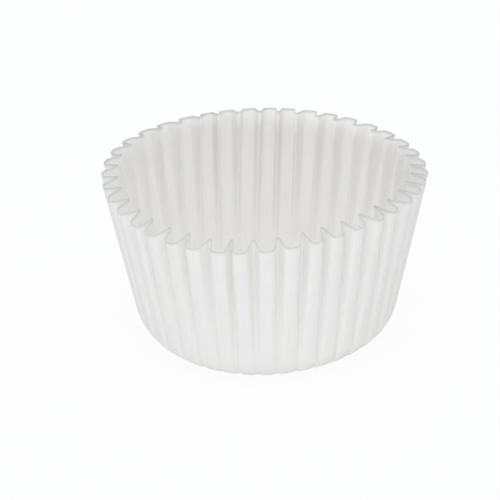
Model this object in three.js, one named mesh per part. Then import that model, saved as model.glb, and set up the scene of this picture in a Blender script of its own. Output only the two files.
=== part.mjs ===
// Fluted paper baking cup: one round sheet of white greaseproof paper, pressed between fluted dies.
// Millimetres, +Z up. The origin is the centre of the flat base, on the surface that the cup stands on.
//
// Paper bends but does not stretch, and the cup's form follows from that. Each point keeps its distance
// from the sheet's centre, so every crease is as long as its neighbours, and the sheet that is left
// over when its round blank is drawn in to the cup's smaller circles folds into the flutes. Out of
// the die the thin wall springs a little, and its rim is no longer quite round.

import * as THREE from "three";

// Sizes of the pressed cup
const RIM_DIAMETER = 68; // mean, over the outer crests, at their cut edge
const BASE_DIAMETER = 53; // where the crests' straight line would meet the table
const CREST_HEIGHT = 35.3; // from the table to the crests' cut edge
const CORNER_RADIUS = 7.5; // of the bend between the base and the wall
const PAPER_THICKNESS = 0.08;

// Sizes of one flute, across the wall
const FLUTE_COUNT = 40;
const GROOVE_TIP_WIDTH = 0.45; // blunt inner tip of a groove, at the rim
const CREASE_WIDTH = 0.3; // least run of a groove's flank, where the crease begins on the base
const FLANK_LEAN = 18.5; // degrees between a groove's flank and the cup's radius
const SHOULDER_WIDTH = 0.6; // rounded edge of a crest
const SHOULDER_DEPTH_SHARE = 0.16; // how much of the groove's depth that rounding takes

// Spring of the loose cup: lobes that go round the rim, each with its size and the degrees from +X at
// which one peaks. It grows from nothing at the flat base with a power of the way up the wall.
const RIM_SWELLS = [
  { lobes: 1, size: 0.0255, peak: -168 },
  { lobes: 2, size: 0.012, peak: -51 },
  { lobes: 3, size: 0.034, peak: -110.6 },
]; // sizes are shares of the radius
const FLUTE_SHIFTS = [
  { lobes: 1, size: 3.2, peak: -98.9 },
  { lobes: 2, size: 2.25, peak: -131 },
  { lobes: 3, size: 1.67, peak: -30 },
]; // sizes are degrees round the cup
const WALL_TWIST = 1.44; // degrees that the flutes lean round the cup on their way up
const SPRING_POWER = 1.3;

// How finely the sheet is drawn
const SHOULDER_BEVEL_COUNT = 2;
const CORNER_BAND_COUNT = 4;
const WALL_BAND_COUNT = 3;
const STEPS_PER_BAND = 12;
const HALVINGS = 40;

// Line of a crest, worked out from the sizes above
const RIM_RADIUS = RIM_DIAMETER / 2;
const BASE_RADIUS = BASE_DIAMETER / 2;
const CORNER_ANGLE = Math.atan2(CREST_HEIGHT, RIM_RADIUS - BASE_RADIUS);
const CORNER_TANGENT = CORNER_RADIUS * Math.tan(CORNER_ANGLE / 2);
const FLAT_RADIUS = BASE_RADIUS - CORNER_TANGENT;
const CORNER_LENGTH = CORNER_RADIUS * CORNER_ANGLE;
const WALL_LENGTH = Math.hypot(CREST_HEIGHT, RIM_RADIUS - BASE_RADIUS) - CORNER_TANGENT;
const FLUTE_ANGLE = (2 * Math.PI) / FLUTE_COUNT;

// Radius and height of a crest at a distance from the sheet's centre: flat base, round corner,
// straight wall.
function crestAt(distance) {
  if (distance <= FLAT_RADIUS) {
    return new THREE.Vector2(distance, 0);
  }
  const turned = Math.min((distance - FLAT_RADIUS) / CORNER_RADIUS, CORNER_ANGLE);
  const straight = Math.max(distance - FLAT_RADIUS - CORNER_LENGTH, 0);
  return new THREE.Vector2(
    FLAT_RADIUS + CORNER_RADIUS * Math.sin(turned) + straight * Math.cos(CORNER_ANGLE),
    CORNER_RADIUS * (1 - Math.cos(turned)) + straight * Math.sin(CORNER_ANGLE),
  );
}

// Sum of lobes at an angle about the cup's axis.
function swellAt(swells, angle) {
  let sum = 0;
  for (const { lobes, size, peak } of swells) {
    sum += size * Math.cos(lobes * (angle - THREE.MathUtils.degToRad(peak)));
  }
  return sum;
}

// Angle of a crest about the cup's axis. The crests start evenly placed, the first one on -Y, and
// shift round as the wall springs.
function crestAngle(index, spring) {
  const even = index * FLUTE_ANGLE - Math.PI / 2;
  const shift = swellAt(FLUTE_SHIFTS, even) - WALL_TWIST;
  return even + THREE.MathUtils.degToRad(shift) * spring;
}

// Half of a groove's section, from its tip over the flank and the rounded shoulder to the crest: each
// fold with its share of the groove's depth and its angle from the middle of the groove. Where the
// crests stand wider apart than even, the flanks take up the difference.
function foldsOfHalfGroove(radius, depth, pitch) {
  const lean = THREE.MathUtils.degToRad(FLANK_LEAN);
  const flankRun = depth * (1 - SHOULDER_DEPTH_SHARE) * Math.tan(lean);
  const tip = GROOVE_TIP_WIDTH / 2 / RIM_RADIUS;
  const flank = CREASE_WIDTH / RIM_RADIUS + flankRun / radius + (pitch - FLUTE_ANGLE) / 2;
  const crest = tip + flank + SHOULDER_WIDTH / RIM_RADIUS;
  const folds = [{ depthShare: 1, angle: tip }];
  for (let bevel = SHOULDER_BEVEL_COUNT; bevel >= 0; bevel -= 1) {
    const turned = (bevel / SHOULDER_BEVEL_COUNT) * (Math.PI / 2);
    folds.push({
      depthShare: SHOULDER_DEPTH_SHARE * (1 - Math.cos(turned)),
      angle: crest - (SHOULDER_WIDTH / RIM_RADIUS) * Math.sin(turned),
    });
  }
  return folds;
}

// All folds of one groove, from the crest before it to the crest after it.
function foldsOfGroove(index, radius, depth, spring) {
  const before = crestAngle(index, spring);
  const after = crestAngle(index + 1, spring);
  const middle = (before + after) / 2;
  const half = foldsOfHalfGroove(radius, depth, after - before);
  const mirrored = [...half].reverse().map((fold) => ({ ...fold, angle: -fold.angle }));
  return [...mirrored, ...half].map((fold) => ({ ...fold, angle: middle + fold.angle }));
}

// Moves each fold of a groove on to the next distance from the sheet's centre. The fold lies in from
// the sprung crest by its share of the depth, and rises by what is left of the step along the paper.
function raiseFolds(folds, before, crest, depth, step, spring) {
  return folds.map((fold, index) => {
    const sprung = crest.x * (1 + swellAt(RIM_SWELLS, fold.angle) * spring);
    const radius = sprung - fold.depthShare * depth;
    const outward = radius - before[index].radius;
    const rise = Math.sqrt(Math.max(step ** 2 - outward ** 2, 0));
    return { angle: fold.angle, radius, height: before[index].height + rise };
  });
}

function foldPoint(fold) {
  return new THREE.Vector3(
    fold.radius * Math.cos(fold.angle),
    fold.radius * Math.sin(fold.angle),
    fold.height,
  );
}

// Length of paper across one groove: its tip, flanks and shoulders, and half a crest's arc on either
// side.
function paperAcrossGroove(index, folds, spring) {
  const first = folds[0];
  const last = folds[folds.length - 1];
  const crestBefore = (first.angle - crestAngle(index, spring)) * first.radius;
  const crestAfter = (crestAngle(index + 1, spring) - last.angle) * last.radius;
  const points = folds.map(foldPoint);
  let across = 0;
  for (let fold = 1; fold < points.length; fold += 1) {
    across += points[fold].distanceTo(points[fold - 1]);
  }
  return crestBefore + across + crestAfter;
}

// Folds of a groove one step further up the wall, with its depth found by halving, so that it holds
// exactly its share of the blank's circle there.
function foldsOneStepOn(index, before, distance, step) {
  const crest = crestAt(distance);
  const paper = distance * FLUTE_ANGLE;
  const spring = ((distance - FLAT_RADIUS) / (CORNER_LENGTH + WALL_LENGTH)) ** SPRING_POWER;
  let shallow = 0;
  let deep = crest.x / 2;
  let folds = before;
  for (let count = 0; count < HALVINGS; count += 1) {
    const depth = (shallow + deep) / 2;
    const placed = foldsOfGroove(index, crest.x, depth, spring);
    folds = raiseFolds(placed, before, crest, depth, step, spring);
    if (paperAcrossGroove(index, folds, spring) < paper) {
      shallow = depth;
    } else {
      deep = depth;
    }
  }
  return folds;
}

// One groove at the drawn rows of the sheet, from the edge of the flat base to the rim.
function rowsOfGroove(index) {
  const start = foldsOfGroove(index, FLAT_RADIUS, 0, 0);
  let folds = start.map((fold) => ({ angle: fold.angle, radius: FLAT_RADIUS, height: 0 }));
  let distance = FLAT_RADIUS;
  const rows = [folds];
  for (const [length, bands] of [[CORNER_LENGTH, CORNER_BAND_COUNT], [WALL_LENGTH, WALL_BAND_COUNT]]) {
    const step = length / bands / STEPS_PER_BAND;
    for (let band = 0; band < bands; band += 1) {
      for (let count = 0; count < STEPS_PER_BAND; count += 1) {
        distance += step;
        folds = foldsOneStepOn(index, folds, distance, step);
      }
      rows.push(folds);
    }
  }
  return rows;
}

// Points of each drawn row, all the way round the cup.
function ringsOfPoints() {
  const grooves = Array.from({ length: FLUTE_COUNT }, (unused, index) => rowsOfGroove(index));
  return grooves[0].map((unused, row) => grooves.flatMap((rows) => rows[row].map(foldPoint)));
}

// Outer face of the sheet: a fan over the flat base, then a band of faces between each two rows.
function outerFace(rings) {
  const columns = rings[0].length;
  const points = [new THREE.Vector3(), ...rings.flat()];
  const faces = [];
  for (let column = 0; column < columns; column += 1) {
    const next = (column + 1) % columns;
    faces.push(0, 1 + next, 1 + column);
    for (let row = 1; row < rings.length; row += 1) {
      const below = 1 + (row - 1) * columns;
      const above = 1 + row * columns;
      faces.push(below + column, below + next, above + next);
      faces.push(below + column, above + next, above + column);
    }
  }
  const face = new THREE.BufferGeometry().setFromPoints(points);
  face.setIndex(faces);
  face.computeVertexNormals();
  return face;
}

// Closes the sheet: the inner face lies one paper thickness in from the outer one, and the cut edge
// joins the two round the rim.
function paperBody(face, columns) {
  const outer = face.getAttribute("position");
  const normals = face.getAttribute("normal");
  const faces = Array.from(face.getIndex().array);
  const points = [];
  const inner = [];
  for (let index = 0; index < outer.count; index += 1) {
    const point = new THREE.Vector3().fromBufferAttribute(outer, index);
    const normal = new THREE.Vector3().fromBufferAttribute(normals, index);
    points.push(point);
    inner.push(point.clone().addScaledVector(normal, -PAPER_THICKNESS));
  }
  const turned = faces.map((vertex) => vertex + outer.count).reverse();
  const edge = [];
  const rim = outer.count - columns;
  for (let column = 0; column < columns; column += 1) {
    const here = rim + column;
    const next = rim + ((column + 1) % columns);
    edge.push(here, next, next + outer.count);
    edge.push(here, next + outer.count, here + outer.count);
  }
  const body = new THREE.BufferGeometry().setFromPoints([...points, ...inner]);
  body.setIndex([...faces, ...turned, ...edge]);
  body.computeVertexNormals();
  return body;
}

// White greaseproof paper: matt, with a faint cool tint
const greaseproofPaper = new THREE.MeshStandardMaterial({
  color: 0xf1f1ef,
  roughness: 0.8,
  metalness: 0,
});

const rings = ringsOfPoints();
const bakingCup = new THREE.Mesh(paperBody(outerFace(rings), rings[0].length), greaseproofPaper);
bakingCup.name = "baking_cup";

const cup = new THREE.Group();
cup.add(bakingCup);

export default cup;
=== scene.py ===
import math

import bpy
import numpy as np
from mathutils import Matrix, Vector


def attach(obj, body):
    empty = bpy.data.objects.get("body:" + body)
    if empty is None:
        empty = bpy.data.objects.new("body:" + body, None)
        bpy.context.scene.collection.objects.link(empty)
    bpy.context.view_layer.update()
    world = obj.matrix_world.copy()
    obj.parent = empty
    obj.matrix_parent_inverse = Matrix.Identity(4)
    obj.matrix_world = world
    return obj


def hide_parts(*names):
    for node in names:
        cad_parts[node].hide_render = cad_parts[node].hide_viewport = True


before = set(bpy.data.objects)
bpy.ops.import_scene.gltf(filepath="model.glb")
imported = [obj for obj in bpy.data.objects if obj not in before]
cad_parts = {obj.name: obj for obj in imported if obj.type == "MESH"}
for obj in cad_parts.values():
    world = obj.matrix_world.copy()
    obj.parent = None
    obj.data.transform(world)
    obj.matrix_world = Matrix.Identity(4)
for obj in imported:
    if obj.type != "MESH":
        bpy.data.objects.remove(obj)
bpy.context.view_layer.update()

# The cup: one round sheet of bleached greaseproof paper, pressed between fluted dies. The paper
# bends but does not stretch, so the sheet left over as the round blank is drawn in folds into
# flutes, and each crease is as long as the crests beside it. Sizes are in millimetres.
MM = 0.001
RIM_RADIUS = 33.9  # mean, over the outer crests, at their cut edge
BASE_RADIUS = 26.5  # where the crests' straight line would meet the table
CREST_HEIGHT = 35.0
CORNER_RADIUS = 7.5  # bend between the base and the wall
PAPER_THICKNESS = 0.08
FLUTE_COUNT = 40
GROOVE_TIP_WIDTH = 0.52  # blunt inner tip of a groove
CREASE_WIDTH = 0.75  # least run of a flank, where a crease begins on the base
FLANK_LEAN = math.radians(5)  # between a flank and the cup's radius
SHOULDER_RUN = 0.6  # how far a crest's edge is rounded, to either side of the fold
SHOULDER_DROP = 0.12  # share of the depth that the crest has fallen by at that fold
TIP_RUN = 0.7  # how far a groove's tip is rounded, along its flank
EXTRA_AT_RIM = 1.0  # paper of a flute beyond its share of the blank, so that it looks deep enough
HELD_AT_BASE = 0.45  # share of the spare paper that the folds hold there; the rest is crushed flat

# Out of the die the thin wall springs, so the rim is not quite round and no two flutes are quite
# alike. All of it fades out towards the flat base. Each lobe term gives how many lobes go round,
# their size, and the degrees at which one peaks.
RIM_LOBES = ((1, 0.0255, -168), (2, 0.012, -51), (3, 0.034, -110.6))  # shares of the radius
FLUTE_SHIFTS = ((1, 3.2, -98.9), (2, 2.25, -131), (3, 1.67, -30))  # degrees
FLUTE_JITTER = 0.7  # degrees that one crest may stray from its place
GROOVE_LEAN = 0.5  # degrees that one groove's tip may stray from the middle of its mouth
LEAN_JITTER = math.radians(1.5)  # how much one groove's flanks may open or close
WALL_TWIST = 1.44  # degrees that the flutes lean round the cup on their way up
SPRING_POWER = 1.3

CORNER_STEPS = 26
WALL_STEPS = 22
EDGE_WIDTH = 0.8  # of the last band of rows at the rim, over which the painted shade along the rim fades in
WALK_STEPS = 3  # steps of the walk up the sheet for each row that is drawn
SAMPLES_PER_FOLD = 2
HALVINGS = 36
FLAT_RINGS = 5
CHANCE_SEED = 7

corner_angle = math.atan2(CREST_HEIGHT, RIM_RADIUS - BASE_RADIUS)
corner_tangent = CORNER_RADIUS * math.tan(corner_angle / 2)
flat_radius = BASE_RADIUS - corner_tangent
corner_length = CORNER_RADIUS * corner_angle
wall_length = math.hypot(CREST_HEIGHT, RIM_RADIUS - BASE_RADIUS) - corner_tangent
flute_angle = 2 * math.pi / FLUTE_COUNT
chance = np.random.default_rng(CHANCE_SEED)


def stray(most):
    """One random value for each flute, evenly spread between minus and plus the most."""
    return chance.uniform(-most, most, FLUTE_COUNT)


def lobes(angle, terms):
    """Sum of cosines round the cup: for each term its size times the cosine of its number of
    lobes times the angle from its peak."""
    return sum(size * np.cos(count * (angle - math.radians(peak))) for count, size, peak in terms)


def crest_radius(distance):
    """Radius of an outer crest at a distance along the paper from its centre: the flat base,
    then an arc of the corner's radius, then a straight line at the wall's slope."""
    turned = np.clip((distance - flat_radius) / CORNER_RADIUS, 0, corner_angle)
    straight = np.maximum(distance - flat_radius - corner_length, 0)
    return (
        np.minimum(distance, flat_radius)
        + CORNER_RADIUS * np.sin(turned)
        + straight * math.cos(corner_angle)
    )


def groove_folds(radius, depth, flank_lean, pitch):
    """Folds of each groove from one crest to the next, as angle from the groove's middle and
    share of its depth. From its blunt tip a flank runs out by the crease's width and by the
    tangent of its lean times the depth, and by half of what the pitch is more than an even one,
    to the fold at the crest's edge. A fold either side of that edge and one above the tip set how
    far the paper is rounded there."""
    tip = GROOVE_TIP_WIDTH / 2 / RIM_RADIUS + 0 * depth
    flank = CREASE_WIDTH / RIM_RADIUS + depth * np.tan(flank_lean) / radius
    flank = flank + (pitch - flute_angle) / 2
    mouth = tip + flank
    share_top = SHOULDER_RUN / (depth + 2 * SHOULDER_RUN)
    share_low = TIP_RUN / (depth + 2 * TIP_RUN)
    half = [
        (mouth + SHOULDER_RUN / RIM_RADIUS, 0 * depth),
        (mouth, SHOULDER_DROP + 0 * depth),
        (mouth - share_top * flank, share_top),
        (tip + share_low * flank, 1 - share_low),
        (tip, 1 + 0 * depth),
    ]
    angles = [-angle for angle, _ in half] + [angle for angle, _ in reversed(half)]
    shares = [share for _, share in half] + [share for _, share in reversed(half)]
    return np.array(angles).T, np.array(shares).T


def next_ring(distance, before, step, crests, tip_lean, flank_lean, spring):
    """Moves the ring of folds one step on along the paper, in cylinder coordinates. A fold's
    radius is the crest's, less its share of the groove's depth, and it rises by what is left of
    the step. Each depth is found by halving, until the folds hold their share of the blank."""
    radius = crest_radius(distance)
    pitch = (np.roll(crests, -1) - crests) % (2 * math.pi)
    middles = crests + pitch / 2
    held = HELD_AT_BASE + (1 - HELD_AT_BASE) * spring
    spare = (distance - radius) * flute_angle * held
    paper = radius * flute_angle + spare + EXTRA_AT_RIM * spring
    shallow = np.zeros(FLUTE_COUNT)
    deep = np.full(FLUTE_COUNT, radius / 2)
    for _ in range(HALVINGS):
        depth = (shallow + deep) / 2
        angles, shares = groove_folds(radius, depth, flank_lean, pitch)
        angles = np.column_stack([crests, middles[:, None] + angles + tip_lean[:, None] * shares])
        shares = np.column_stack([np.zeros(FLUTE_COUNT), shares])
        radii = radius * (1 + lobes(angles, RIM_LOBES) * spring) - shares * depth[:, None]
        rise = np.sqrt(np.maximum(step**2 - (radii - before[..., 1]) ** 2, 0))
        heights = before[..., 2] + rise
        points = np.stack([radii * np.cos(angles), radii * np.sin(angles), heights], axis=-1)
        following = np.roll(points.reshape(-1, 3), -1, axis=0).reshape(points.shape)
        length = np.linalg.norm(following - points, axis=-1).sum(axis=1)
        shallow = np.where(length < paper, depth, shallow)
        deep = np.where(length < paper, deep, depth)
    return np.stack([angles, radii, heights], axis=-1)


def rings_of_folds():
    """All drawn rings of folds, from the flat base's edge over the corner and up to the rim. How
    far the sheet has sprung goes from 0 to 1 with a power of the distance up the wall."""
    even = np.arange(FLUTE_COUNT) * flute_angle - math.pi / 2
    spread = np.radians(lobes(even, FLUTE_SHIFTS) + stray(FLUTE_JITTER) - WALL_TWIST)
    tip_lean = np.radians(stray(GROOVE_LEAN))
    flank_lean = FLANK_LEAN + stray(LEAN_JITTER)
    angles, _ = groove_folds(flat_radius, np.zeros(FLUTE_COUNT), flank_lean, flute_angle)
    angles = np.column_stack([even, (even + flute_angle / 2)[:, None] + angles])
    ring = np.stack([angles, np.full_like(angles, flat_radius), np.zeros_like(angles)], axis=-1)
    rings = [ring]
    distance = flat_radius
    total = corner_length + wall_length
    bands = ((corner_length, CORNER_STEPS), (wall_length - EDGE_WIDTH, WALL_STEPS), (EDGE_WIDTH, 1))
    for length, count in bands:
        step = length / count / WALK_STEPS
        for _ in range(count):
            for _ in range(WALK_STEPS):
                distance += step
                spring = ((distance - flat_radius) / total) ** SPRING_POWER
                crests = even + spread * spring
                ring = next_ring(distance, ring, step, crests, tip_lean * spring, flank_lean, spring)
            rings.append(ring)
    return np.array(rings).reshape(len(rings), -1, 3)


def rounded(folds):
    """Closed quadratic B-spline round each ring: at a share t of the span of a fold, the curve is
    half of (1 - t) squared of the fold before, half of t squared of the fold after, and the rest
    of the fold itself."""
    before, after = np.roll(folds, 1, axis=1), np.roll(folds, -1, axis=1)
    spans = []
    for sample in range(SAMPLES_PER_FOLD):
        t = (sample + 0.5) / SAMPLES_PER_FOLD
        spans.append((1 - t) ** 2 / 2 * before + (0.5 + t - t * t) * folds + t * t / 2 * after)
    return np.stack(spans, axis=2).reshape(len(folds), -1, 3)


def sheet_mesh(name, rings):
    """Mesh of a sheet drawn as closed rings about a middle point: a fan inside the first ring,
    and a band of four-sided faces between each ring and the next. The point attribute that masks
    the painted shade along the rim is 1 on the last ring and 0 on the others."""
    rows, columns = rings.shape[:2]
    column = np.arange(columns)
    following = np.roll(column, -1)
    fan = np.column_stack([np.zeros(columns, int), 1 + following, 1 + column])
    start = 1 + columns * np.arange(rows - 1)[:, None]
    above = start + columns
    bands = np.stack([start + column, start + following, above + following, above + column], axis=-1)
    mesh = bpy.data.meshes.new(name)
    points = np.vstack([np.zeros((1, 3)), rings.reshape(-1, 3)]) * MM
    mesh.from_pydata(points.tolist(), [], fan.tolist() + bands.reshape(-1, 4).tolist())
    mesh.shade_smooth()
    at_edge = np.zeros(len(points), dtype=np.float32)
    at_edge[-columns:] = 1
    mesh.attributes.new("painted_rim_shade", "FLOAT", "POINT").data.foreach_set("value", at_edge)
    return mesh


def place_object(name, data):
    """Links a new object to the scene. It stays at the origin, with its place in its mesh."""
    made = bpy.data.objects.new(name, data)
    bpy.context.scene.collection.objects.link(made)
    return made


angle, radius, height = np.moveaxis(rings_of_folds(), -1, 0)
wall = rounded(np.stack([radius * np.cos(angle), radius * np.sin(angle), height], axis=-1))
flat = wall[:1] * np.linspace(0, 1, FLAT_RINGS + 1)[1:-1, None, None]
cup = place_object("pleated_cup", sheet_mesh("pleated_cup", np.concatenate([flat, wall])))
thickness = cup.modifiers.new("paper_thickness", "SOLIDIFY")
thickness.thickness = PAPER_THICKNESS * MM
thickness.offset = -1
thickness.use_even_offset = True
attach(cup, "root")
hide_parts("baking_cup")


def linear(hex_colour):
    """sRGB hex to linear RGB with alpha: each part over 12.92 near black, and else the 2.4 power
    of (part + 0.055) / 1.055."""
    parts = [int(hex_colour[i : i + 2], 16) / 255 for i in (1, 3, 5)]
    return [p / 12.92 if p <= 0.04045 else ((p + 0.055) / 1.055) ** 2.4 for p in parts] + [1.0]


def add_node(tree, kind, settings=None, **inputs):
    """Adds one shader node. settings are its own properties. Each other name is an input socket,
    with underscores for spaces or its number after an underscore, and is given a value or
    another node's output socket."""
    node = tree.nodes.new(kind)
    for name, value in (settings or {}).items():
        setattr(node, name, value)
    for name, value in inputs.items():
        socket = node.inputs[int(name[1:])] if name[0] == "_" else node.inputs[name.replace("_", " ")]
        if isinstance(value, bpy.types.NodeSocket):
            tree.links.new(value, socket)
        else:
            socket.default_value = value
    return node


def new_material(name):
    """An empty node material, and its tree."""
    material = bpy.data.materials.new(name)
    material.use_nodes = True
    material.node_tree.nodes.clear()
    return material, material.node_tree


# Bleached greaseproof paper, pressed: dense beaten fibres, calendered to a dull sheen. The eye
# sees a clean, barely warm white with faint cloudiness, and daylight glows through the thin wall.
PAPER_DENSE = "#FAF9F7"
PAPER_THIN = "#FDFCFA"
PAINTED_RIM_SHADE = "#EFEEEB"  # painted shade: a faintly grey band along the rim, where the thin edge and the groove tips fall in shade
CLOUD_SIZE = 2.5  # mm across one cloud of fibres in the sheet
FIBRE_SIZE = 0.25  # mm, about five times as coarse as real fibres, so that they show
FIBRE_RELIEF = 0.02  # mm
FIBRE_STRENGTH = 0.2
THROUGH_SHARE = 0.64  # of the light that goes through the sheet and not back from it
MATT = 0.65
paper, tree = new_material("greaseproof_paper")
place = add_node(tree, "ShaderNodeTexCoord").outputs["Object"]
clouds = add_node(tree, "ShaderNodeTexNoise", Vector=place, Scale=1 / (CLOUD_SIZE * MM), Detail=3.0)
fibres = add_node(tree, "ShaderNodeTexNoise", Vector=place, Scale=1 / (FIBRE_SIZE * MM), Detail=2.0)
tone = add_node(
    tree, "ShaderNodeMix", {"data_type": "RGBA"},
    _0=clouds.outputs["Fac"], _6=linear(PAPER_DENSE), _7=linear(PAPER_THIN),
).outputs[2]
# Painted shade: the paper turns greyer towards the rim over the last band of rows, standing in for the
# shade along the thin edge and near the top inside.
rim_shade = add_node(tree, "ShaderNodeAttribute", {"attribute_name": "painted_rim_shade"}).outputs["Fac"]
tone = add_node(
    tree, "ShaderNodeMix", {"data_type": "RGBA"}, _0=rim_shade, _6=tone, _7=linear(PAINTED_RIM_SHADE)
).outputs[2]
bump = add_node(
    tree, "ShaderNodeBump",
    Height=fibres.outputs["Fac"], Strength=FIBRE_STRENGTH, Distance=FIBRE_RELIEF * MM,
).outputs["Normal"]
surface = add_node(
    tree, "ShaderNodeBsdfPrincipled", Base_Color=tone, Roughness=MATT, IOR=1.5, Normal=bump
)
through = add_node(tree, "ShaderNodeBsdfTranslucent", Color=tone, Normal=bump)
sheet = add_node(
    tree, "ShaderNodeMixShader",
    _0=THROUGH_SHARE, _1=surface.outputs["BSDF"], _2=through.outputs["BSDF"],
)
add_node(tree, "ShaderNodeOutputMaterial", Surface=sheet.outputs["Shader"])
cup.data.materials.append(paper)

# The floor: a plain pale sweep under the cup. The camera, and what gloss or thin paper shows of it,
# sees it white and all but evenly lit, with a share of its own shading that keeps the cup's shadow.
FLOOR_HALF = 4.0  # metres
FLOOR_SHIFT = 0.5  # metres to the back, so that the seam on the square's diagonal misses the cup
FLOOR_GLOW = 0.88  # share of plain white in what the camera sees of the floor
FLOOR_PALE = "#BCBCBC"
FLOOR_GAP = 0.02  # mm up to the base, since in one plane light came unevenly through the paper
floor_mesh = bpy.data.meshes.new("floor")
front, back = FLOOR_SHIFT - FLOOR_HALF, FLOOR_SHIFT + FLOOR_HALF
floor_z = -FLOOR_GAP * MM
corners = [(-FLOOR_HALF, front, floor_z), (FLOOR_HALF, front, floor_z)]
corners += [(FLOOR_HALF, back, floor_z), (-FLOOR_HALF, back, floor_z)]
floor_mesh.from_pydata(corners, [], [(0, 1, 2, 3)])
floor = place_object("floor", floor_mesh)
pale_sweep, tree = new_material("pale_sweep")
path = add_node(tree, "ShaderNodeLightPath").outputs
seen = add_node(
    tree, "ShaderNodeMath", {"operation": "MAXIMUM"}, _0=path["Is Camera Ray"], _1=path["Is Glossy Ray"]
)
seen = add_node(
    tree, "ShaderNodeMath", {"operation": "MAXIMUM"}, _0=seen.outputs[0], _1=path["Is Transmission Ray"]
).outputs[0]
glow_share = add_node(tree, "ShaderNodeMath", {"operation": "MULTIPLY"}, _0=seen, _1=FLOOR_GLOW)
shade = add_node(
    tree, "ShaderNodeMix", {"data_type": "RGBA"}, _0=seen, _6=linear(FLOOR_PALE), _7=(1, 1, 1, 1)
)
shaded = add_node(tree, "ShaderNodeBsdfDiffuse", Color=shade.outputs[2])
glow = add_node(tree, "ShaderNodeEmission", Color=(1, 1, 1, 1), Strength=1.0)
sweep = add_node(
    tree, "ShaderNodeMixShader",
    _0=glow_share.outputs[0], _1=shaded.outputs["BSDF"], _2=glow.outputs["Emission"],
)
add_node(tree, "ShaderNodeOutputMaterial", Surface=sweep.outputs["Shader"])
floor_mesh.materials.append(pale_sweep)

# Light: an even white tent, and one long soft lamp low in front of the cup, a little to the left. To
# the camera the tent is plain white. Places and sizes are in metres.
TENT_LEVEL = 0.935
STUDIO_WHITE = (0.910, 0.942, 1.0, 1)  # daylight lamps, a touch cool
LAMP_PLACE = Vector((-0.15, -1.1, 0.07))
LAMP_LENGTH = 1.9
LAMP_WIDTH = 0.06
LAMP_WATTS = 5.8
world = bpy.data.worlds.new("studio")
bpy.context.scene.world = world
world.use_nodes = True
tree = world.node_tree
tree.nodes.clear()
camera_ray = add_node(tree, "ShaderNodeLightPath").outputs["Is Camera Ray"]
level = add_node(
    tree, "ShaderNodeMix", {"data_type": "FLOAT"}, _0=camera_ray, _2=TENT_LEVEL, _3=1.0
)
tint = add_node(
    tree, "ShaderNodeMix", {"data_type": "RGBA"}, _0=camera_ray, _6=STUDIO_WHITE, _7=(1, 1, 1, 1)
)
backdrop = add_node(tree, "ShaderNodeBackground", Color=tint.outputs[2], Strength=level.outputs[0])
add_node(tree, "ShaderNodeOutputWorld", Surface=backdrop.outputs["Background"])
lamp_data = bpy.data.lights.new("front_lamp", "AREA")
lamp_data.shape = "RECTANGLE"
lamp_data.size = LAMP_LENGTH
lamp_data.size_y = LAMP_WIDTH
lamp_data.energy = LAMP_WATTS
lamp_data.color = STUDIO_WHITE[:3]
lamp = place_object("front_lamp", lamp_data)
lamp.location = LAMP_PLACE
lamp.rotation_euler = LAMP_PLACE.to_track_quat("Z", "Y").to_euler()

# The camera looks down on the cup through a long lens, a little turned. The cup stands just right
# of the picture's middle.
IMAGE_SIZE = 500  # pixels
CUP_MIDDLE = (265.2, 248.1)  # pixel at which the middle of the cup's axis shows
PIXELS_PER_RADIUS = 160.8  # of the rim, at the cup's middle
CAMERA_ELEVATION = math.radians(27.36)
CAMERA_ROLL = math.radians(-1.18)
RADII_AWAY = 13  # of the rim, from the camera to the cup
CAMERA_DISTANCE = RADII_AWAY * RIM_RADIUS * MM
SENSOR = 36.0  # mm
camera_data = bpy.data.cameras.new("camera")
camera_data.sensor_width = SENSOR
camera_data.lens = PIXELS_PER_RADIUS * CAMERA_DISTANCE / (RIM_RADIUS * MM) / IMAGE_SIZE * SENSOR
camera_data.shift_x = (IMAGE_SIZE / 2 - CUP_MIDDLE[0]) / IMAGE_SIZE
camera_data.shift_y = (CUP_MIDDLE[1] - IMAGE_SIZE / 2) / IMAGE_SIZE
camera = place_object("camera", camera_data)
backward = Vector((0, -math.cos(CAMERA_ELEVATION), math.sin(CAMERA_ELEVATION)))
camera.location = Vector((0, 0, CREST_HEIGHT * MM / 2)) + backward * CAMERA_DISTANCE
aim = backward.to_track_quat("Z", "Y").to_matrix()
camera.rotation_euler = (aim @ Matrix.Rotation(CAMERA_ROLL, 3, "Z")).to_euler()
bpy.context.scene.camera = camera

bpy.context.scene.view_settings.view_transform = "Standard"
